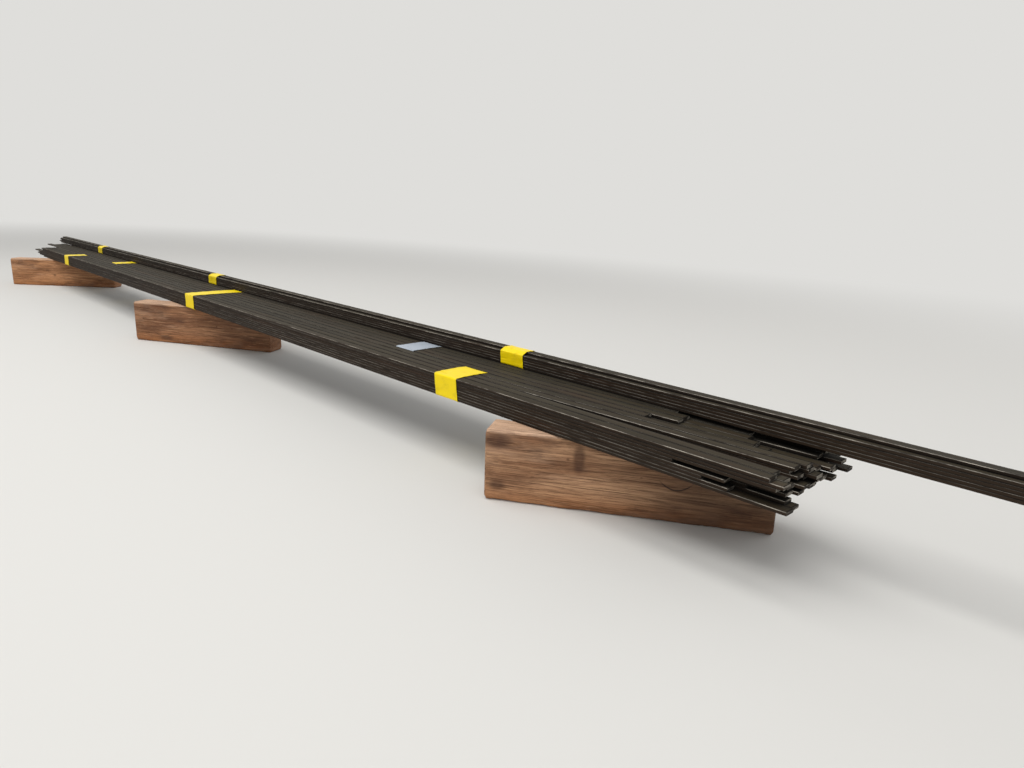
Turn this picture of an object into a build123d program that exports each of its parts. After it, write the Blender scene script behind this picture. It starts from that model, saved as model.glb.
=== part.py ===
"""Bundle of hot-rolled steel flat bars, stored lying on three short timber bearers.

Ten columns of bars lie side by side, eight layers deep: four columns taped together as the
front bundle, four as the middle bundle, and two at the rear.  A smaller bundle of longer
bars lies on the rear columns, with one bar more on its top.  The near ends are uneven, and past the front tape all but
the two front columns have sprung towards the rear.

Millimetres.  X runs along the bars towards their near ends, Y goes to the rear and Z is
up.  The origin is under the centre of the middle bearer, on the floor.
"""

import os
from math import cos, radians, sin

from build123d import *

# Flat bar stock: 15 x 4, hot rolled with eased corners
BAR_WIDTH = 15.0
BAR_THICK = 4.0
BAR_CORNER = 0.6
PILE_LENGTH = 3000.0
LONG_LENGTH = 4000.0

# Tape
TAPE_WIDTH = 50.0
TAPE_THICK = 0.2
TAPE_CLEAR = 0.05
TAPE_GAP = TAPE_THICK + 2 * TAPE_CLEAR

# Bearers: sawn timber set on edge, with worn edges
BEARER_THICK = 50.0
BEARER_HEIGHT = 97.0
BEARER_WEAR = 4.0
BEARER_END_WEAR = 2.0
MIDDLE_BEARER_LENGTH = 390.0
NEAR_BEARER_LENGTH = 365.0
FAR_BEARER_LENGTH = 390.0

# The pile: its front face, its longest end and the gaps between its columns
PILE_FRONT = -44.0
PILE_END = 1531.0
DRIFT = 0.05
BAR_GAP = 0.1
SLOT = TAPE_GAP + 2 * DRIFT
SPLIT_GAP = 1.8
CREASE_GAP = 0.6
COLUMN_GAPS = (BAR_GAP, BAR_GAP, SPLIT_GAP, SLOT, CREASE_GAP, BAR_GAP, BAR_GAP, SLOT, BAR_GAP)

# How far each near end stops short of the longest one: a row for each column from the
# front, bottom layer first
SETBACKS = (
    (0, 64, 95, 68, 132, 13, 6, 21),
    (2, 10, 52, 10, 40, 9, 14, 25),
    (33, 12, 48, 7, 30, 15, 24, 19),
    (20, 41, 9, 36, 16, 3, 12, 14),
    (52, 14, 38, 8, 94, 27, 85, 223),
    (24, 66, 11, 47, 18, 73, 88, 186),
    (70, 16, 35, 58, 9, 101, 104, 189),
    (12, 44, 90, 22, 61, 30, 111, 210),
    (35, 18, 74, 52, 10, 96, 28, 120),
    (60, 8, 33, 80, 22, 45, 110, 64),
)
LAYERS = len(SETBACKS[0])

# Columns of each bundle, and the first column that springs away
FRONT_COLUMNS = range(0, 4)
MIDDLE_COLUMNS = range(4, 8)
REAR_COLUMNS = range(8, 10)
FIRST_SPRUNG = 2

# Spring of the near ends: the bars bend along this stretch, and are straight past it
SPRING_START = 1030.0
SPRING_BEND = 120.0
SPRING_TURN = 2.4

# Long bars on the rear columns: their longest end, and each one's setback.  One more bar
# lies on top of them, further to the rear
LONG_END = 2262.0
LONG_SETBACKS = ((9, 31, 0, 17, 6), (22, 4, 15, 28, 11))
LONG_LAYERS = len(LONG_SETBACKS[0])
TOP_BAR_SETBACK = 13
TOP_BAR_SHIFT = 9.0

# Share of the drift that each layer takes
DRIFT_SHARES = (0.4, -1.0, 0.7, -0.3, 1.0, -0.6)

# Heights
PILE_BASE = BEARER_HEIGHT + TAPE_GAP
PILE_TOP = PILE_BASE + LAYERS * BAR_THICK
LONG_BASE = PILE_TOP + TAPE_GAP
LONG_TOP = LONG_BASE + LONG_LAYERS * BAR_THICK
TOP_BAR_TOP = LONG_TOP + BAR_THICK


def column_front(column):
    """Y of the front face of a column, before its layers drift."""
    return PILE_FRONT + column * BAR_WIDTH + sum(COLUMN_GAPS[:column])


def layer_drift(layer):
    """Small sideways offset of a whole layer."""
    return DRIFT * DRIFT_SHARES[layer % len(DRIFT_SHARES)]


def bar_section(far_end, side, middle):
    """Draw the bar's section at its far end, with eased corners."""
    with BuildSketch(Plane((far_end, side, middle), x_dir=(0, 1, 0), z_dir=(1, 0, 0))) as section:
        Rectangle(BAR_WIDTH, BAR_THICK)
        chamfer(section.vertices(), BAR_CORNER)
    return section.sketch


def add_bar(near_end, length, front, base, sprung):
    """Add one bar to the part in hand: its section swept along X, to its near end.

    A sprung bar turns aside on an arc, and is straight again past it.
    """
    side = front + BAR_WIDTH / 2
    middle = base + BAR_THICK / 2
    far_end = near_end - length
    section = bar_section(far_end, side, middle)
    with BuildLine(mode=Mode.PRIVATE) as route:
        if sprung:
            Line((far_end, side, middle), (SPRING_START, side, middle))
            radius = SPRING_BEND / radians(SPRING_TURN)
            bend = JernArc((SPRING_START, side, middle), (1, 0), radius, SPRING_TURN)
            tip = near_end - SPRING_START - SPRING_BEND
            Line(bend @ 1, bend @ 1 + (bend % 1) * tip)
        else:
            Line((far_end, side, middle), (near_end, side, middle))
    sweep(section, path=route.line)


def pile_layer(name, columns, layer):
    """Write one layer of a bundle: its bars side by side, which don't touch."""
    with BuildPart() as bars:
        for column in columns:
            add_bar(
                PILE_END - SETBACKS[column][layer],
                PILE_LENGTH,
                column_front(column) + layer_drift(layer),
                PILE_BASE + layer * BAR_THICK,
                column >= FIRST_SPRUNG,
            )
    bars.part.label = name
    export_step(bars.part, f"parts/{name}.step")


def long_layer(name, layer):
    """Write one layer of the long bundle, straight above the rear columns."""
    with BuildPart() as bars:
        for column, setbacks in zip(REAR_COLUMNS, LONG_SETBACKS):
            add_bar(
                LONG_END - setbacks[layer],
                LONG_LENGTH,
                column_front(column) + layer_drift(layer),
                LONG_BASE + layer * BAR_THICK,
                False,
            )
    bars.part.label = name
    export_step(bars.part, f"parts/{name}.step")


def top_bar(name):
    """Write the single bar on top of the long bundle."""
    with BuildPart() as bar:
        add_bar(
            LONG_END - TOP_BAR_SETBACK,
            LONG_LENGTH,
            column_front(REAR_COLUMNS[0]) + TOP_BAR_SHIFT,
            LONG_TOP,
            False,
        )
    bar.part.label = name
    export_step(bar.part, f"parts/{name}.step")


def pile_outline(columns):
    """Corners of the outline of some columns of the pile, from the front of their base."""
    front = column_front(columns[0]) - DRIFT
    rear = column_front(columns[-1]) + BAR_WIDTH + DRIFT
    return [(front, PILE_BASE), (rear, PILE_BASE), (rear, PILE_TOP), (front, PILE_TOP)]


def long_outline():
    """Corners of the long bundle's outline, which narrows to the single bar on top."""
    front = column_front(REAR_COLUMNS[0]) - DRIFT
    rear = column_front(REAR_COLUMNS[-1]) + BAR_WIDTH + DRIFT
    top_front = column_front(REAR_COLUMNS[0]) + TOP_BAR_SHIFT
    return [
        (front, LONG_BASE),
        (rear, LONG_BASE),
        (rear, LONG_TOP),
        (top_front + BAR_WIDTH, TOP_BAR_TOP),
        (top_front, TOP_BAR_TOP),
        (front, LONG_TOP),
    ]


def tape_band(name, centre, outline):
    """Write one closed band of tape, pulled round an outline."""
    with BuildPart() as band:
        with BuildSketch(Plane.YZ.offset(centre - TAPE_WIDTH / 2)):
            with BuildLine():
                Polyline(*outline, close=True)
            core = make_face()
            offset(amount=TAPE_CLEAR + TAPE_THICK)
            offset(core, amount=TAPE_CLEAR, mode=Mode.SUBTRACT)
        extrude(amount=TAPE_WIDTH)
    band.part.label = name
    export_step(band.part, f"parts/{name}.step")


def bearer(name, centre, yaw, length):
    """Write one bearer: a timber on edge, turned by yaw, with worn edges and sawn ends."""
    along = Vector(cos(radians(yaw)), sin(radians(yaw)), 0)
    middle = Vector(*centre, BEARER_HEIGHT / 2)
    end = Plane(middle - along * length / 2, x_dir=along.rotate(Axis.Z, 90), z_dir=along)
    with BuildPart() as timber:
        with BuildSketch(end):
            RectangleRounded(BEARER_THICK, BEARER_HEIGHT, BEARER_WEAR)
        extrude(amount=length)
        sawn = timber.faces().filter_by(end)
        chamfer(sawn.edges(), length=BEARER_END_WEAR)
    timber.part.label = name
    export_step(timber.part, f"parts/{name}.step")


os.makedirs("parts", exist_ok=True)

# Bearers
bearer("middle_bearer", (0, 0), 31.0, MIDDLE_BEARER_LENGTH)
bearer("near_bearer", (1289, 26), 33.0, NEAR_BEARER_LENGTH)
bearer("far_bearer", (-1333, -3), 45.0, FAR_BEARER_LENGTH)

# Bars
for layer in range(LAYERS):
    pile_layer(f"front_bundle_layer{layer + 1}", FRONT_COLUMNS, layer)
    pile_layer(f"middle_bundle_layer{layer + 1}", MIDDLE_COLUMNS, layer)
    pile_layer(f"rear_bundle_layer{layer + 1}", REAR_COLUMNS, layer)
for layer in range(LONG_LAYERS):
    long_layer(f"long_bundle_layer{layer + 1}", layer)
top_bar("long_bundle_top_bar")

# Yellow tape, and one band of silver tape
FRONT = pile_outline(FRONT_COLUMNS)
MIDDLE = pile_outline(MIDDLE_COLUMNS)
BOTH = pile_outline(range(FRONT_COLUMNS[0], MIDDLE_COLUMNS[-1] + 1))
LONG = long_outline()
tape_band("front_near_tape", 1008.0, FRONT)
tape_band("front_far_tape", -1120.0, FRONT)
tape_band("joining_tape", 19.0, BOTH)
tape_band("middle_far_tape", -793.0, MIDDLE)
tape_band("middle_silver_tape", 818.0, MIDDLE)
tape_band("long_near_tape", 1015.0, LONG)
tape_band("long_middle_tape", -148.0, LONG)
tape_band("long_far_tape", -1177.0, LONG)
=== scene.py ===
"""Looks of a bundle of hot-rolled steel flat bars: mill scale, tape and sawn timber.

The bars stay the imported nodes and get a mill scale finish.  The bands of tape and the
timber bearers are new surfaces worked out with numpy, in the places of their nodes.
Metres, in the frame of the part.
"""

from math import cos, pi, radians, sin

import bmesh
import bpy
import numpy as np
from mathutils import Matrix, Vector


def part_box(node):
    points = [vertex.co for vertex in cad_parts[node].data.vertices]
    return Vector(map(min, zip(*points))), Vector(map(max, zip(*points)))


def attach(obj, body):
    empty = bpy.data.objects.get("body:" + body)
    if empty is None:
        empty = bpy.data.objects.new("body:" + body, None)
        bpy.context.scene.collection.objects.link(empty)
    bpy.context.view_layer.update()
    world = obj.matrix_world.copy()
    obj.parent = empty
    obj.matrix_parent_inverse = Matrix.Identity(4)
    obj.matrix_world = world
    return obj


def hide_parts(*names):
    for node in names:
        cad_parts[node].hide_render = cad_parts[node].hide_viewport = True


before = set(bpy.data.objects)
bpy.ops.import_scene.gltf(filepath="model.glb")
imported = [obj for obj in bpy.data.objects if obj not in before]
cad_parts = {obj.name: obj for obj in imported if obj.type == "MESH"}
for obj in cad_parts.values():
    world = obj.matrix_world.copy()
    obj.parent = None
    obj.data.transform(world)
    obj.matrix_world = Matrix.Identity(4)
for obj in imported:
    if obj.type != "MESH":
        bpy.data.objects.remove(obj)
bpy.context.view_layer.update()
MM = 0.001


# Materials

# Setting of a Map Range node: it eases in and out
SMOOTH = {"interpolation_type": "SMOOTHSTEP"}


def colour(code):
    """Turn an sRGB hex colour into linear values."""
    parts = [int(code[k:k + 2], 16) / 255 for k in (1, 3, 5)]
    return [p / 12.92 if p <= 0.04045 else ((p + 0.055) / 1.055) ** 2.4 for p in parts] + [1.0]


def add(tree, kind, inputs, output=0, **settings):
    """Add a shader node with its settings and give back one output, or all for None.
    Inputs are values, or the sockets that feed them: a list in order, or by their names."""
    node = tree.nodes.new("ShaderNode" + kind)
    for name, value in settings.items():
        setattr(node, name, value)
    for name, value in inputs.items() if isinstance(inputs, dict) else enumerate(inputs):
        if isinstance(value, bpy.types.NodeSocket):
            tree.links.new(value, node.inputs[name])
        else:
            node.inputs[name].default_value = value
    return node.outputs if output is None else node.outputs[output]


def start_material(name):
    """Make a node material with nothing in it yet."""
    material = bpy.data.materials.new(name)
    material.use_nodes = True
    material.node_tree.nodes.clear()
    return material, material.node_tree


def lumps(tree, place, size, detail, rough):
    """Unevenness from 0 to 1: noise over the place divided by the size of the lumps, which
    is in millimetres along x, y and z."""
    scaled = add(tree, "Mapping", {"Vector": place, "Scale": [1000 / s for s in size]})
    pattern = {"Vector": scaled, "Scale": 1.0, "Detail": detail, "Roughness": rough}
    return add(tree, "TexNoise", pattern, "Fac")


def patches(tree, place, size, texture, span, amount=(0.0, 1.0)):
    """Patches with soft edges: lumps of a size in millimetres, whose texture is detail and
    roughness, mapped smoothly from a span of their values to an amount."""
    uneven = lumps(tree, place, size, *texture)
    return add(tree, "MapRange", [uneven, *span, *amount], **SMOOTH)


def coat(tree, under, share, code, strength=1.0):
    """Lay an sRGB hex colour over another one, as far as a share times a strength says."""
    cover = add(tree, "Math", [share, strength], operation="MULTIPLY")
    return add(tree, "Mix", {0: cover, 6: under, 7: colour(code)}, 2, data_type="RGBA")


def hypotenuse(tree, first, second):
    """Square root of the sum of two squares."""
    squares = [add(tree, "Math", [side, side], operation="MULTIPLY") for side in (first, second)]
    total = add(tree, "Math", squares, operation="ADD")
    return add(tree, "Math", [total], operation="SQRT")


# Heights between which the steel's finish changes
TOP_LAYER = (0.1262, 0.1268)  # from the pile's lower layers to its top one
PILE_TOP = (0.1296, 0.1300)  # from the pile's upper faces to the long bundle
LONG_LAYERS = (0.1300, 0.1304)  # from the long bundle's foot to its sides
LONG_TOP_LAYER = (0.1456, 0.1460)  # from its lower layers to its top one

# Where the columns meet: sprung rearward or not, y in millimetres, depth of the line
COLUMN_JOINTS = (
    (False, -28.95, 0.5), (True, -13.85, 0.5), (True, 2.1, 0.9), (True, 18.2, 1.0),
    (True, 33.7, 0.85), (True, 49.05, 0.4), (True, 64.15, 0.4),
)
LINE_EDGES = (0.8 * MM, 3.0 * MM)  # a line is full up to the first and gone at the second
BEND_AT = 1.09  # x at the middle of the bend
BEND_EASE = 0.03  # how far from there the slope eases in
HALF_SLOPE = 0.02095  # half the tangent of the columns' 2.4 degrees
# colour of the grime in the joints and of the painted shade in the gaps
GRIME_AND_SHADE = "#0b0a09"


def joint_grime_and_shade(tree, normal, upward, exposed):
    """Grime where steel is close by: in the joints and for a millimetre or so beside them on the
    wide faces, where nothing has rubbed or rained on it.  Further into the gaps and under
    overhangs, painted shade darkens the steel."""
    near = add(tree, "MapRange", [exposed, 0.55, 0.95, 0.92, 0.0], **SMOOTH)
    eased = add(tree, "Bevel", {"Radius": 3 * MM}, samples=8)
    same = add(tree, "VectorMath", [eased, normal], "Value", operation="DOT_PRODUCT")
    beside = add(tree, "MapRange", [same, 0.98, 0.9998, 0.95, 0.0], **SMOOTH)
    beside = add(tree, "Math", [beside, upward], operation="MULTIPLY")
    near = add(tree, "Math", [near, beside], operation="MAXIMUM")
    # painted shade: the more steel within 16 mm hides a place, the darker it is painted
    open_to = add(tree, "AmbientOcclusion", {"Distance": 16 * MM}, "AO", samples=6)
    painted_gap_shade = add(tree, "MapRange", [open_to, 0.35, 0.8, 0.85, 0.0], **SMOOTH)
    return add(tree, "Math", [near, painted_gap_shade], operation="MAXIMUM")


def joint_lines(tree, spot, upward):
    """Dark lines where the columns of bars meet on the pile's upper faces, drawn a little
    wider than the joints so that they show.  With p the distance past the bend, the columns
    have swung rearward by half their slope times the sum of p and the hypotenuse of p and
    the bend's ease."""
    past = add(tree, "Math", [spot["X"], BEND_AT], operation="SUBTRACT")
    eased = add(tree, "Math", [past, hypotenuse(tree, past, BEND_EASE)], operation="ADD")
    swing = add(tree, "Math", [eased, HALF_SLOPE], operation="MULTIPLY")
    sprung = add(tree, "Math", [spot["Y"], swing], operation="SUBTRACT")
    lines = 0.0
    for bent, joint, depth in COLUMN_JOINTS:
        across = sprung if bent else spot["Y"]
        aside = add(tree, "Math", [across, joint * MM], operation="SUBTRACT")
        aside = add(tree, "Math", [aside], operation="ABSOLUTE")
        line = add(tree, "MapRange", [aside, *LINE_EDGES, depth, 0.0], **SMOOTH)
        lines = add(tree, "Math", [line, lines], operation="MAXIMUM")
    lines = add(tree, "Math", [lines, upward], operation="MULTIPLY")
    in_pile = add(tree, "MapRange", [spot["Z"], *PILE_TOP, 1.0, 0.0], **SMOOTH)
    return add(tree, "Math", [lines, in_pile], operation="MULTIPLY")


def worn_arrises(tree, place, facing, height, exposed):
    """Bare metal on the arrises that face forwards and up.  The eased corners are the only
    faces that lie across both y and z, so the product of the two finds them.  Those in the
    open are rubbed, and below the top layers those of some bars more than of others."""
    across = add(tree, "Math", [facing["Y"], facing["Z"]], operation="MULTIPLY")
    across = add(tree, "Math", [across, -1.0], operation="MULTIPLY")
    arris = add(tree, "MapRange", [across, 0.3, 0.42], **SMOOTH)
    rising = add(tree, "MapRange", [facing["Z"], 0.2, 0.4], **SMOOTH)
    front_top = add(tree, "Math", [arris, rising], operation="MULTIPLY")
    in_pile = add(tree, "MapRange", [height, *TOP_LAYER, 1.0, 0.0], **SMOOTH)
    above_foot = add(tree, "MapRange", [height, *LONG_LAYERS], **SMOOTH)
    below_last = add(tree, "MapRange", [height, *LONG_TOP_LAYER, 1.0, 0.0], **SMOOTH)
    in_long = add(tree, "Math", [above_foot, below_last], operation="MULTIPLY")
    lower_layers = add(tree, "Math", [in_pile, in_long], operation="MAXIMUM")
    some_bars = patches(tree, place, (2500, 15, 3.6), (0.0, 0.55), (0.47, 0.53), (0.05, 0.52))
    lower_edges = add(tree, "Math", [lower_layers, some_bars], operation="MULTIPLY")
    in_the_open = add(tree, "MapRange", [exposed, 0.84, 0.94], **SMOOTH)
    reached = add(tree, "Math", [in_the_open, lower_edges], operation="MAXIMUM")
    worn = add(tree, "Math", [front_top, reached], operation="MULTIPLY")
    rubbed = patches(tree, place, (38, 8, 3), (5.0, 0.7), (0.36, 0.62), (0.06, 0.85))
    return add(tree, "Math", [worn, rubbed], operation="MULTIPLY")


def mill_scale():
    """Hot-rolled mild steel: blue-black mill scale, rolled in streaks along the bar, with brown
    rust in patches and dust on the upper faces.  Grime darkens and dulls the joints, and painted
    shade darkens and dulls the gaps; the arrises and the sheared ends show bright bare metal."""
    material, tree = start_material("hot_rolled_mill_scale")
    place = add(tree, "TexCoord", [], "Object")
    normal = add(tree, "NewGeometry", [], "True Normal")
    facing = add(tree, "SeparateXYZ", [normal], None)
    spot = add(tree, "SeparateXYZ", [place], None)
    upward = add(tree, "MapRange", [facing["Z"], 0.75, 0.95], **SMOOTH)
    exposed = add(tree, "AmbientOcclusion", {"Distance": 3 * MM}, "AO", samples=8)

    # rolling streaks, a metre long and a few millimetres wide
    streaks = lumps(tree, place, (900, 5, 3), 6.0, 0.6)
    tone = add(tree, "MapRange", [streaks, 0.34, 0.66], **SMOOTH)
    scale_colour = coat(tree, colour("#0c0906"), tone, "#201a13")
    # each bar has a tone of its own
    bar_tone = patches(tree, place, (1500, 15, 4.2), (1.0, 0.55), (0.35, 0.65))
    scale_colour = coat(tree, scale_colour, bar_tone, "#34281c", 0.5)
    # rust in patches
    rust = patches(tree, place, (180, 22, 14), (7.0, 0.65), (0.5, 0.74))
    scale_colour = coat(tree, scale_colour, rust, "#402617", 0.5)
    # the front and back edges are browner than the wide faces
    sideways = add(tree, "Math", [facing["Y"]], operation="ABSOLUTE")
    browner = add(tree, "MapRange", [sideways, 0.75, 0.95, 0.0, 0.4], **SMOOTH)
    scale_colour = coat(tree, scale_colour, browner, "#32251a")
    # dust on the upper faces
    dusty = patches(tree, place, (320, 15, 15), (6.0, 0.6), (0.25, 0.75), (0.45, 0.95))
    dust = add(tree, "Math", [upward, dusty], operation="MULTIPLY")
    scale_colour = coat(tree, scale_colour, dust, "#464031", 0.55)
    # dark specks, a millimetre wide and twice as long
    specks = patches(tree, place, (2.2, 0.9, 0.9), (3.0, 0.7), (0.55, 0.75))
    scale_colour = coat(tree, scale_colour, specks, "#0d0b0a", 0.35)
    # grime in the joints and painted shade in the gaps, and the lines of the joints on top
    grime_and_shade = joint_grime_and_shade(tree, normal, upward, exposed)
    scale_colour = coat(tree, scale_colour, grime_and_shade, GRIME_AND_SHADE)
    lines = joint_lines(tree, spot, upward)
    scale_colour = coat(tree, scale_colour, lines, GRIME_AND_SHADE)

    # bare metal on the arrises, and on the sheared ends where they haven't rusted
    worn = worn_arrises(tree, place, facing, spot["Z"], exposed)
    lengthways = add(tree, "Math", [facing["X"]], operation="ABSOLUTE")
    end_face = add(tree, "MapRange", [lengthways, 0.6, 0.8], **SMOOTH)
    unrusted = patches(tree, place, (60, 17, 4.6), (1.5, 0.55), (0.4, 0.52), (0.6, 0.04))
    end_metal = add(tree, "Math", [end_face, unrusted], operation="MULTIPLY")
    bare = add(tree, "Math", [worn, end_metal], operation="MAXIMUM")

    # grime and the painted shade take the sheen off, rolled scale keeps a little
    dull = add(tree, "Math", [grime_and_shade, lines], operation="MAXIMUM")
    dull = add(tree, "Math", [dull, 0.42], operation="MULTIPLY")
    sheen = add(tree, "MapRange", [streaks, 0.3, 0.7, 0.76, 0.58], **SMOOTH)
    rough = add(tree, "Math", [sheen, dull], operation="ADD")
    rough = add(tree, "Math", [rough, 1.0], operation="MINIMUM")
    # streaks stand up, specks are pitted
    raised = add(tree, "Math", [streaks, 0.6], operation="MULTIPLY")
    pitted = add(tree, "Math", [specks, -0.25], operation="MULTIPLY")
    relief = add(tree, "Math", [raised, pitted], operation="ADD")
    steel_look = {
        "Base Color": coat(tree, scale_colour, bare, "#a39c90"),
        "Metallic": add(tree, "Math", [bare, 0.7], operation="MULTIPLY"),
        "Roughness": rough,
        "Specular IOR Level": 0.15,
        "Normal": add(tree, "Bump", {"Height": relief, "Strength": 0.45, "Distance": 0.4 * MM}),
    }
    shader = add(tree, "BsdfPrincipled", steel_look)
    add(tree, "OutputMaterial", {"Surface": shader}, None)
    return material


def pvc_tape(name, base, grime_and_shade, creases):
    """Pressure-sensitive tape: a smooth, even plastic film with fine creases across it and
    a little grime; its gloss comes back in short soft streaks.  The creases are of a size
    in millimetres."""
    material, tree = start_material(name)
    place = add(tree, "TexCoord", [], "Object")
    dirt_and_shadow = patches(tree, place, (18, 14, 14), (6.0, 0.6), (0.5, 0.8))
    crease = lumps(tree, place, creases, 3.0, 0.5)
    film_look = {
        "Base Color": coat(tree, colour(base), dirt_and_shadow, grime_and_shade, 0.4),
        "Roughness": add(tree, "MapRange", [dirt_and_shadow, 0.0, 1.0, 0.38, 0.6], **SMOOTH),
        "IOR": 1.5,
        "Specular IOR Level": 0.2,
        "Normal": add(tree, "Bump", {"Height": crease, "Strength": 0.35, "Distance": 0.8 * MM}),
    }
    shader = add(tree, "BsdfPrincipled", film_look)
    add(tree, "OutputMaterial", {"Surface": shader}, None)
    return material


PITH_ASIDE = 0.09  # the pith line lies this far in front of a timber's middle
RING_SPACING = 0.0065
WANDER = 0.05  # how far the grain strays over the range of its warp
FRAY = 0.004  # how far the fibres fray the edge of a knot
SPLIT_BOW = 0.012  # how far a split's ends rise over its middle


def growth_rings(tree, local, strayed):
    """Late wood of the growth rings, cut along: sine of the distance from a pith line that
    runs along the timber near its foot, to one side."""
    rise = add(tree, "Math", [local["Z"], strayed], operation="ADD")
    aside = add(tree, "Math", [local["Y"], PITH_ASIDE], operation="ADD")
    turns = [hypotenuse(tree, rise, aside), 2 * pi / RING_SPACING]
    phase = add(tree, "Math", turns, operation="MULTIPLY")
    rings = add(tree, "Math", [phase], operation="SINE")
    return add(tree, "MapRange", [rings, -0.2, 1.0], **SMOOTH)


def knots_and_holes(tree, local, fibres, knots):
    """Dark knots and nail holes: the distance from each one's middle, stretched along the
    timber and frayed by the fibres, against its size."""
    frayed = add(tree, "Math", [fibres, FRAY], operation="MULTIPLY")
    dark_spot = 0.0
    for along, up, size, stretch in knots:
        across = add(tree, "Math", [local["X"], along], operation="SUBTRACT")
        across = add(tree, "Math", [across, stretch], operation="MULTIPLY")
        rise = add(tree, "Math", [local["Z"], up], operation="SUBTRACT")
        away = add(tree, "Math", [hypotenuse(tree, across, rise), frayed], operation="ADD")
        spot = add(tree, "MapRange", [away, size * 0.55, size * 1.25, 1.0, 0.0], **SMOOTH)
        dark_spot = add(tree, "Math", [spot, dark_spot], operation="MAXIMUM")
    return dark_spot


def bowed_split(tree, local, along, up, length):
    """A fine split along the grain.  With r the run from its middle over its length, it
    lies at a height of up plus r squared times the bow, and fades out towards its ends."""
    run = add(tree, "Math", [local["X"], along], operation="SUBTRACT")
    run = add(tree, "Math", [run, length], operation="DIVIDE")
    bow = add(tree, "Math", [run, run], operation="MULTIPLY")
    bow = add(tree, "Math", [bow, SPLIT_BOW], operation="MULTIPLY")
    miss = add(tree, "Math", [local["Z"], up], operation="SUBTRACT")
    miss = add(tree, "Math", [miss, bow], operation="SUBTRACT")
    miss = add(tree, "Math", [miss], operation="ABSOLUTE")
    line = add(tree, "MapRange", [miss, 0.5 * MM, 1.3 * MM, 1.0, 0.0], **SMOOTH)
    either_way = add(tree, "Math", [run], operation="ABSOLUTE")
    near_run = add(tree, "MapRange", [either_way, 0.6, 1.0, 1.0, 0.0], **SMOOTH)
    return add(tree, "Math", [line, near_run], operation="MULTIPLY")


def sawn_timber(name, centre, timber):
    """Rough-sawn softwood, weathered: long pale and orange bands of grain, fibres a millimetre
    apart, dark knots and nail holes, brown stains and bleached patches, a painted shadow of the
    bars that darkens it towards one end, a split, and a paler rubbed upper edge."""
    material, tree = start_material(name)
    place = add(tree, "TexCoord", [], "Object")
    offset = add(tree, "VectorMath", [place, (*centre, 0.0)], operation="SUBTRACT")
    turn_back = {"Vector": offset, "Angle": -radians(timber["yaw"])}
    turned = add(tree, "VectorRotate", turn_back, rotation_type="Z_AXIS")
    local = add(tree, "SeparateXYZ", [turned], None)
    warp = lumps(tree, turned, (170, 60, 28), 3.0, 0.55)
    strayed = add(tree, "Math", [warp, WANDER], operation="MULTIPLY")
    late_wood = growth_rings(tree, local, strayed)
    fibres = lumps(tree, turned, (60, 1.3, 1.3), 5.0, 0.7)

    # broad bands, an orange strip along the foot, rings, dark fibres and pale streaks
    bands = add(tree, "MapRange", [warp, 0.35, 0.65], **SMOOTH)
    board = coat(tree, colour(timber["light"]), bands, timber["dark"])
    low_strip = add(tree, "MapRange", [local["Z"], 4 * MM, 34 * MM, 0.55, 0.0], **SMOOTH)
    board = coat(tree, board, low_strip, "#a3632f")
    board = coat(tree, board, late_wood, "#573521", 0.3)
    dark_fibres = add(tree, "MapRange", [fibres, 0.44, 0.64, 0.0, 0.72], **SMOOTH)
    board = coat(tree, board, dark_fibres, "#3b2415")
    streak = patches(tree, turned, (45, 2.4, 2.4), (4.0, 0.65), (0.55, 0.68), (0.0, 0.5))
    board = coat(tree, board, streak, "#c79a72")
    # brown stains and bleached patches
    stain = patches(tree, turned, (75, 40, 30), (6.0, 0.62), (0.54, 0.74))
    board = coat(tree, board, stain, "#3f2a20", 0.6)
    bleach = patches(tree, turned, (120, 50, 22), (5.0, 0.6), (0.52, 0.75))
    board = coat(tree, board, bleach, "#c9a283", 0.35)
    # painted shadow of the bars, darker towards the end in +x
    run = add(tree, "Math", [local["X"], strayed], operation="ADD")
    dirt_and_shadow = add(tree, "MapRange", [run, -0.03, 0.13, 0.0, timber["painted_shadow"]], **SMOOTH)
    board = coat(tree, board, dirt_and_shadow, "#2e1d12")
    dark_spot = knots_and_holes(tree, local, fibres, timber["knots"])
    board = coat(tree, board, dark_spot, "#3a1f12", 0.6)
    along, up, length, depth = timber["split"]
    crack = bowed_split(tree, local, along, up, length)
    board = coat(tree, board, crack, "#1f110a", depth)
    # the top edge is rubbed pale by the bars, but for its dark fibres
    ragged = add(tree, "Math", [warp, 6 * MM], operation="MULTIPLY")
    ragged = add(tree, "Math", [local["Z"], ragged], operation="ADD")
    rubbed = add(tree, "MapRange", [ragged, 95 * MM, 98.5 * MM], **SMOOTH)
    between_fibres = add(tree, "MapRange", [fibres, 0.4, 0.66, 0.7, 0.2], **SMOOTH)
    pale = add(tree, "Math", [rubbed, between_fibres], operation="MULTIPLY")
    board = coat(tree, board, pale, "#e0bb9c")

    raised = add(tree, "Math", [late_wood, 0.3], operation="MULTIPLY")
    relief = add(tree, "Math", [fibres, raised], operation="ADD")
    relief = add(tree, "Math", [relief, crack], operation="SUBTRACT")
    wood_look = {
        "Base Color": board,
        "Roughness": add(tree, "MapRange", [fibres, 0.3, 0.7, 0.7, 0.9], **SMOOTH),
        "IOR": 1.45,
        "Normal": add(tree, "Bump", {"Height": relief, "Strength": 0.7, "Distance": 0.9 * MM}),
    }
    shader = add(tree, "BsdfPrincipled", wood_look)
    add(tree, "OutputMaterial", {"Surface": shader}, None)
    return material


# Surfaces

POLE = 1e-6  # points of a row closer than this are one


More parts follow.
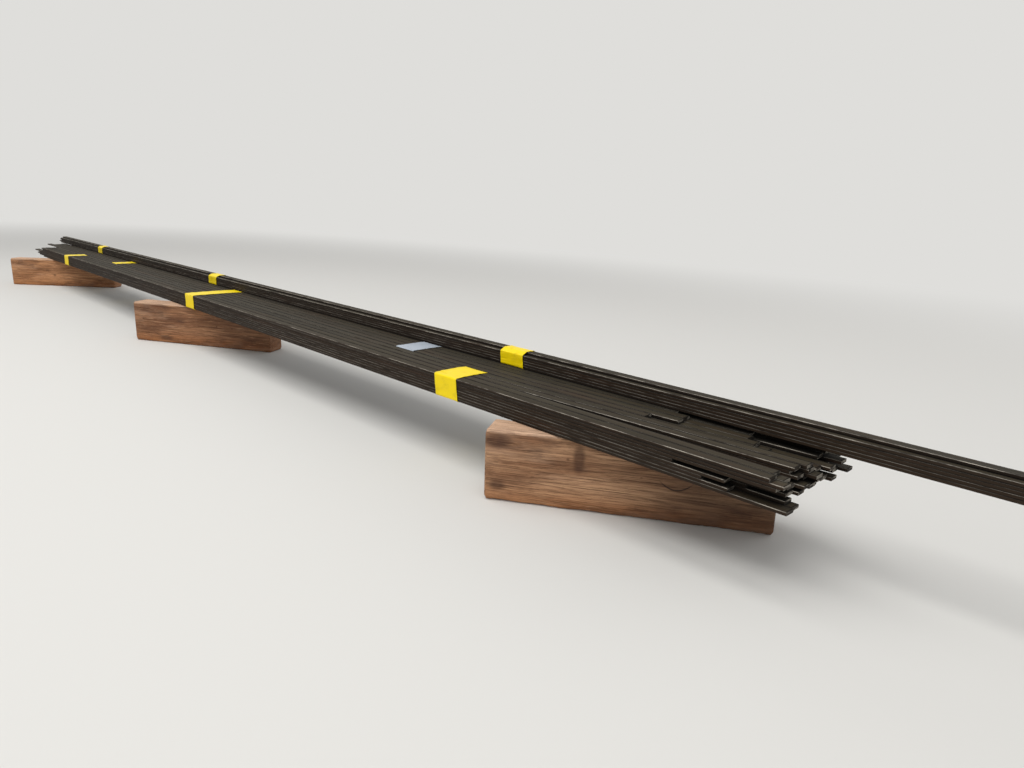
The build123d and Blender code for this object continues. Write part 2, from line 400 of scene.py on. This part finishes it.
def grid_mesh(name, points, closed_around, material, node):
    """Make a mesh of a grid of points, rows along the first index, and let it stand for a
    node.  Neighbours on the grid make a four-sided face; the second index may close on
    itself, and the points of a row that has shrunk to a pole become one."""
    rows, columns = points.shape[:2]
    index = np.arange(rows * columns).reshape(rows, columns)
    if closed_around:
        index = np.concatenate([index, index[:, :1]], axis=1)
    quads = np.stack([index[:-1, :-1], index[:-1, 1:], index[1:, 1:], index[1:, :-1]], axis=-1)
    mesh = bpy.data.meshes.new(name)
    mesh.from_pydata(points.reshape(-1, 3).tolist(), [], quads.reshape(-1, 4).tolist())
    joined = bmesh.new()
    joined.from_mesh(mesh)
    bmesh.ops.remove_doubles(joined, verts=joined.verts, dist=POLE)
    joined.to_mesh(mesh)
    joined.free()
    piece = bpy.data.objects.new(name, mesh)
    bpy.context.scene.collection.objects.link(piece)
    mesh.materials.append(material)
    mesh.shade_smooth()
    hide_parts(node)
    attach(piece, "root")
    return piece


def waves(draw, first, second, count, low, high):
    """Smooth unevenness from -1 to 1 over two arrays: a sum of sine waves with drawn
    directions and phases, low to high turns for each unit."""
    total = np.zeros(np.broadcast(first, second).shape)
    for _ in range(count):
        turns = draw.uniform(low, high, 2) * draw.choice([-1, 1], 2)
        phase = draw.uniform(0, 2 * pi)
        total = total + np.sin(2 * pi * (turns[0] * first + turns[1] * second) + phase)
    return total / count


def rounded_path(corners, radius, step):
    """Points round a convex outline whose corners are turned on arcs, with the distance
    of each point along the path."""
    corners = np.array(corners)
    points = []
    for before, here, after in zip(np.roll(corners, 1, 0), corners, np.roll(corners, -1, 0)):
        inward = (before - here) / np.linalg.norm(before - here)
        onward = (after - here) / np.linalg.norm(after - here)
        half = np.arccos(np.clip(inward @ onward, -1, 1)) / 2
        reach = radius / np.tan(half)
        halfway = (inward + onward) / np.linalg.norm(inward + onward)
        centre = here + halfway * radius / np.sin(half)
        start, end = here + inward * reach - centre, here + onward * reach - centre
        turn = np.linspace(0, 1, 9)[:, None]
        arc = start * (1 - turn) + end * turn
        points.append(centre + arc / np.linalg.norm(arc, axis=1)[:, None] * radius)
    ring = np.concatenate(points)
    ring = np.concatenate([ring, ring[:1]])
    lengths = np.concatenate([[0], np.cumsum(np.linalg.norm(np.diff(ring, axis=0), axis=1))])
    count = int(lengths[-1] / step)
    along = np.linspace(0, lengths[-1], count, endpoint=False)
    return np.stack([np.interp(along, lengths, ring[:, k]) for k in (0, 1)], axis=1), along


FILM = 0.22 * MM  # thickness of the tape
FILM_OFFSET = 0.3 * MM  # from the outline that the tape is pulled round to its outer face
LAP = 38 * MM  # length that lies on the tape's own start
LAP_RISE = 6 * MM  # length over which it climbs there
TAPE_CORNER, TAPE_STEP, TAPE_ROWS = 1.7 * MM, 0.9 * MM, 25
TAPE_WAVE, TAPE_RIDGE, TAPE_CURL, TAPE_DRIFT = 0.16 * MM, 0.1 * MM, 0.35 * MM, 0.5 * MM


def tape_band(name, corners, skew, draw, material):
    """A band of tape pulled round an outline: a strip carried round the rounded outline and
    on over its own start, one film higher there.  Broad and narrow waves bulge it where it
    bridges, its edges curl up in soft waves, and it runs askew by a sine of the turn."""
    low, high = (np.array(c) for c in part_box(name))
    path, along = rounded_path(corners, TAPE_CORNER, TAPE_STEP)
    step = along[1] - along[0]
    total = along[-1] + step
    tangent = np.roll(path, -1, 0) - np.roll(path, 1, 0)
    outward = np.stack([tangent[:, 1], -tangent[:, 0]], axis=1)
    outward /= np.linalg.norm(outward, axis=1)[:, None]
    count = len(path) + int(LAP / step)
    order = np.arange(count) % len(path)
    travelled = np.arange(count) * step
    lift = FILM * 1.15 * np.clip((travelled - total + LAP_RISE) / LAP_RISE, 0, 1)
    across = np.linspace(-1, 1, TAPE_ROWS)[None, :]
    turn = travelled[:, None] / total
    height = FILM_OFFSET + lift[:, None]
    height = height + TAPE_WAVE * waves(draw, turn * 9, across, 7, 0.2, 1.0)
    height = height + TAPE_RIDGE * waves(draw, turn * 26, across * 0.5, 5, 0.4, 1.0)
    curl = 1 + waves(draw, turn * 14, across * 0, 5, 0.3, 1.0)
    height = height + np.abs(across) ** 6 * TAPE_CURL * curl
    drift = TAPE_DRIFT * waves(draw, turn * 6, across * 0, 4, 0.3, 1)
    side = skew * MM * np.sin(2 * pi * turn + 0.6) + drift
    middle, half = (low[0] + high[0]) / 2, (high[0] - low[0]) / 2
    x = middle + across * half + side
    points = np.empty(x.shape + (3,))
    points[..., 0] = x
    points[..., 1:] = path[order][:, None, :] + outward[order][:, None, :] * height[..., None]
    piece = grid_mesh(name + "_film", points, False, material, name)
    wall = piece.modifiers.new("film", "SOLIDIFY")
    wall.thickness = FILM
    wall.offset = -1


THICK, TALL = 50 * MM, 97 * MM  # section of a bearer
SIDE_POINTS, TIMBER_ROWS = 21, 150
END_SHRINK = [0.0, 0.3, 0.6, 0.85, 0.96]  # sections that close an end
LEAST_ROUNDING = 1.5 * MM  # of the long corners
END_ROUNDING, END_INSET = 2.5 * MM, 1.6 * MM  # of the corners at the ends
END_BULGE, END_BACK = 0.5 * MM, 1.2 * MM  # of the end faces
SAW_WAVE, HOLLOW_WAVE = 0.22 * MM, 0.3 * MM


def timber_piece(name, yaw, wear, draw, material):
    """A sawn timber on edge: a rectangular section carried along its length.  Each section
    point is moved to an arc about the nearest point of a smaller rectangle, which rounds
    the corners by a radius that wanders along the timber; the ends are closed by sections
    that shrink to a point, and the sides carry shallow saw waves."""
    low, high = (np.array(c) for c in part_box(name))
    centre = (low + high) / 2
    half_length = ((high[0] - low[0]) - THICK * abs(sin(yaw))) / cos(yaw) / 2
    # perimeter of the section, with more points near its corners
    run = (1 - np.cos(np.linspace(0, pi, SIDE_POINTS + 1))[:-1]) / 2
    turns = np.array([(-1, -1), (1, -1), (1, 1), (-1, 1)])
    starts, ends = turns[:, None, :], np.roll(turns, -1, axis=0)[:, None, :]
    square = (starts + (ends - starts) * run[None, :, None]).reshape(-1, 2)
    square = square * (THICK / 2, TALL / 2)
    # places along the timber, and how far the section has grown and rounded there
    inner = np.linspace(-1, 1, TIMBER_ROWS)
    closing = np.zeros(len(END_SHRINK))
    along = np.concatenate([closing - 1, inner, closing + 1])
    shrink = np.concatenate([END_SHRINK, np.ones(TIMBER_ROWS), END_SHRINK[::-1]])
    from_end = np.clip((1 - np.abs(inner)) * half_length / END_ROUNDING, 0, 1)
    from_end = np.concatenate([closing, from_end, closing])
    # long corners, rounded by the wear
    corner = np.arctan2(square[:, 1], square[:, 0])[None, :]
    radius = wear * MM * (1.5 + waves(draw, along[:, None] * 3, corner / 3, 9, 0.3, 1.4))
    radius = np.maximum(radius, LEAST_ROUNDING)
    core = np.stack(
        [
            np.clip(square[None, :, 0], -THICK / 2 + radius, THICK / 2 - radius),
            np.clip(square[None, :, 1], -TALL / 2 + radius, TALL / 2 - radius),
        ],
        axis=-1,
    )
    out = square[None] - core
    out = out / np.maximum(np.linalg.norm(out, axis=-1, keepdims=True), 1e-9)
    section = core + out * radius[..., None]
    # corners at the ends, saw waves and the sections that close the ends
    inset = END_INSET * (1 - np.sqrt(np.clip(1 - (1 - from_end) ** 2, 0, 1)))
    section = section * (1 - inset[:, None, None] / (THICK / 2))
    saw = SAW_WAVE * waves(draw, along[:, None] * 22, corner * 0.2, 6, 0.3, 1.0)
    hollow = HOLLOW_WAVE * waves(draw, along[:, None] * 2, corner * 0.5, 6, 0.3, 1.0)
    section = section * (1 - (np.abs(saw + hollow) / (THICK / 2))[..., None])
    section = section * shrink[:, None, None]
    bulge = END_BULGE * (1 - shrink)
    length = (along * (half_length - END_BACK + bulge))[:, None]
    # turned by the yaw, standing on the floor and flat on top, whatever the saw left
    turned = np.empty(section.shape[:2] + (3,))
    turned[..., 0] = centre[0] + length * cos(yaw) - section[..., 0] * sin(yaw)
    turned[..., 1] = centre[1] + length * sin(yaw) + section[..., 0] * cos(yaw)
    turned[..., 2] = np.clip(centre[2] + section[..., 1], low[2], high[2])
    grid_mesh(name + "_sawn", turned, True, material, name)


# Bars
steel = mill_scale()
for node_name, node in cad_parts.items():
    if "_layer" in node_name or node_name.endswith("top_bar"):
        node.data.materials.clear()
        node.data.materials.append(steel)

# Bearers: yaw in degrees, wear of the corners in millimetres, colours, and the strength of the
# painted shadow of the bars; then knots and nail holes, each its place along and up, its size
# and its stretch; and a split, its place along and up, its length and its depth of colour
timbers = {
    "near_bearer": {
        "yaw": 33,
        "wear": 4.2,
        "light": "#c19671",
        "dark": "#8d6344",
        "painted_shadow": 0.62,
        "knots": [
            (-0.165, 0.082, 0.013, 0.6),
            (-0.163, 0.022, 0.010, 0.7),
            (-0.058, 0.07, 0.022, 2.6),
            (0.02, 0.055, 0.003, 0.8),
            (-0.155, 0.078, 0.0042, 1.0),
            (-0.072, 0.068, 0.004, 1.0),
        ],
        "split": (0.062, 0.044, 0.022, 0.85),
    },
    "middle_bearer": {
        "yaw": 31,
        "wear": 3.0,
        "light": "#a27350",
        "dark": "#794f33",
        "painted_shadow": 0.2,
        "knots": [
            (-0.165, 0.056, 0.0042, 1.0),
            (0.047, 0.052, 0.0042, 1.0),
            (0.09, 0.05, 0.0042, 1.0),
            (-0.1, 0.012, 0.008, 0.3),
        ],
        "split": (-0.11, 0.016, 0.03, 0.35),
    },
    "far_bearer": {
        "yaw": 45,
        "wear": 3.0,
        "light": "#cf9668",
        "dark": "#a06d46",
        "painted_shadow": 0.2,
        "knots": [(-0.03, 0.04, 0.006, 0.7), (0.1, 0.06, 0.004, 0.7)],
        "split": (-0.06, 0.07, 0.05, 0.45),
    },
}
TIMBER_SEED, TAPE_SEED = 40, 70
for seed, (node_name, timber) in enumerate(timbers.items(), TIMBER_SEED):
    low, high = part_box(node_name)
    centre = ((low[0] + high[0]) / 2, (low[1] + high[1]) / 2)
    finish = sawn_timber(f"sawn_softwood_{node_name}", centre, timber)
    yaw = radians(timber["yaw"])
    timber_piece(node_name, yaw, timber["wear"], np.random.default_rng(seed), finish)

# Tape: how far each band runs askew, in millimetres
yellow = pvc_tape("yellow_pvc_tape", "#f4d600", "#b0921c", (30, 5, 5))
silver = pvc_tape("silver_cloth_tape", "#a9b1ba", "#6f7378", (9, 9, 9))
tapes = {
    "front_near_tape": 5.0,
    "front_far_tape": -3.0,
    "joining_tape": 4.0,
    "middle_far_tape": -2.0,
    "long_near_tape": 1.5,
    "long_middle_tape": -1.0,
    "long_far_tape": 1.0,
    "middle_silver_tape": 2.5,
}
# over the long bundle's top bar: how far down the slope ends, and where the flat lies
SHOULDER_DROP, FLAT_FROM, FLAT_TO = 4 * MM, 9 * MM, 24 * MM
for seed, (node_name, skew) in enumerate(tapes.items(), TAPE_SEED):
    low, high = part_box(node_name)
    front, rear = low[1] + FILM_OFFSET, high[1] - FILM_OFFSET
    base, top = low[2] + FILM_OFFSET, high[2] - FILM_OFFSET
    outline = [(front, base), (rear, base), (rear, top), (front, top)]
    if node_name.startswith("long"):
        shoulder = top - SHOULDER_DROP
        flat = [(front + FLAT_TO, top), (front + FLAT_FROM, top)]
        outline[2:] = [(rear, shoulder), *flat, (front, shoulder)]
    finish, slot = (silver, "silver_tape") if "silver" in node_name else (yellow, "yellow_tape")
    tape_band(node_name, outline, skew, np.random.default_rng(seed), finish)


# Floor, light and camera

BACKDROP = "#dfdedb"
FLOOR_REACH = 40.0
FLOOR_FADE = (1.3, 3.4)  # distances over which the floor turns into the backdrop


def studio_floor():
    """A pale floor that turns into the backdrop far off, so that no horizon shows."""
    mesh = bpy.data.meshes.new("floor")
    signs = [(-1, -1), (1, -1), (1, 1), (-1, 1)]
    corners = [(x * FLOOR_REACH, y * FLOOR_REACH, 0) for x, y in signs]
    mesh.from_pydata(corners, [], [(0, 1, 2, 3)])
    floor = bpy.data.objects.new("floor", mesh)
    bpy.context.scene.collection.objects.link(floor)
    material, tree = start_material("pale_floor")
    cover = add(tree, "BsdfPrincipled", {"Base Color": colour("#d4d2cd"), "Roughness": 0.9})
    # distances along the bars count half
    place = add(tree, "TexCoord", [], "Object")
    nearer = add(tree, "Mapping", {"Vector": place, "Scale": (0.5, 1.0, 1.0)})
    far = add(tree, "VectorMath", [nearer], "Value", operation="LENGTH")
    faded = add(tree, "MapRange", [far, *FLOOR_FADE], **SMOOTH)
    ray = add(tree, "LightPath", [], None)
    fade = add(tree, "Math", [faded, ray["Is Camera Ray"]], operation="MULTIPLY")
    backdrop = add(tree, "Emission", {"Color": colour(BACKDROP), "Strength": 1.0})
    mixed = add(tree, "MixShader", [fade, cover, backdrop])
    add(tree, "OutputMaterial", {"Surface": mixed}, None)
    mesh.materials.append(material)


def studio_world():
    """A pale world that lights the object, and shows as the backdrop to the camera and in
    reflections."""
    world = bpy.data.worlds.new("studio")
    bpy.context.scene.world = world
    world.use_nodes = True
    tree = world.node_tree
    tree.nodes.clear()
    sky = add(tree, "Background", {"Color": colour("#f4f5f7"), "Strength": 0.55})
    backdrop = add(tree, "Background", {"Color": colour(BACKDROP), "Strength": 1.0})
    ray = add(tree, "LightPath", [], None)
    seen = add(tree, "Math", [ray["Is Camera Ray"], ray["Is Glossy Ray"]], operation="MAXIMUM")
    seen = add(tree, "Math", [seen, ray["Is Transmission Ray"]], operation="MAXIMUM")
    light = add(tree, "MixShader", [seen, sky, backdrop])
    add(tree, "OutputWorld", {"Surface": light}, None)


# Lamps: name, place, length and width, watts, and the place they aim at
LAMPS = (
    ("key", (0.1, -1.0, 3.0), (5.5, 2.4), 100.0, (0.1, 0.0, 0.1)),
    ("fill", (2.6, -2.4, 1.5), (1.6, 1.6), 13.0, (0.9, 0.0, 0.1)),
    ("rear", (2.2, 2.8, 1.6), (2.4, 1.2), 12.0, (0.2, 0.0, 0.1)),
)


def studio_lamps():
    """A soft overhead light, and weaker ones in front and behind."""
    for name, position, size, power, aim in LAMPS:
        lamp = bpy.data.lights.new(name, "AREA")
        lamp.shape = "RECTANGLE"
        lamp.size, lamp.size_y = size
        lamp.energy = power
        holder = bpy.data.objects.new(name, lamp)
        bpy.context.scene.collection.objects.link(holder)
        turn = (Vector(aim) - Vector(position)).to_track_quat("-Z", "Y")
        holder.matrix_world = Matrix.Translation(position) @ turn.to_matrix().to_4x4()


# The photograph's viewpoint, solved from the bars, tape and bearers: where the camera is,
# and which way its picture's right, its picture's foot and its view point
CAMERA_AT = (1.81409, -0.68220, 0.38674)
CAMERA_RIGHT = (0.684575, 0.728212, 0.032630)
CAMERA_DOWN = (0.204859, -0.149237, -0.967348)
CAMERA_AHEAD = (-0.699564, 0.668906, -0.251345)


def place_camera():
    """Camera at the photograph's viewpoint."""
    lens = bpy.data.cameras.new("view")
    lens.sensor_width = 36.0
    lens.lens = 25.682
    lens.clip_start = 0.05
    camera = bpy.data.objects.new("view", lens)
    bpy.context.scene.collection.objects.link(camera)
    axes = zip(CAMERA_RIGHT, CAMERA_DOWN, CAMERA_AHEAD)
    turn = Matrix([[right, -down, -ahead] for right, down, ahead in axes]).to_4x4()
    camera.matrix_world = Matrix.Translation(CAMERA_AT) @ turn
    bpy.context.scene.camera = camera


studio_floor()
studio_world()
studio_lamps()
place_camera()
bpy.context.scene.view_settings.view_transform = "Standard"
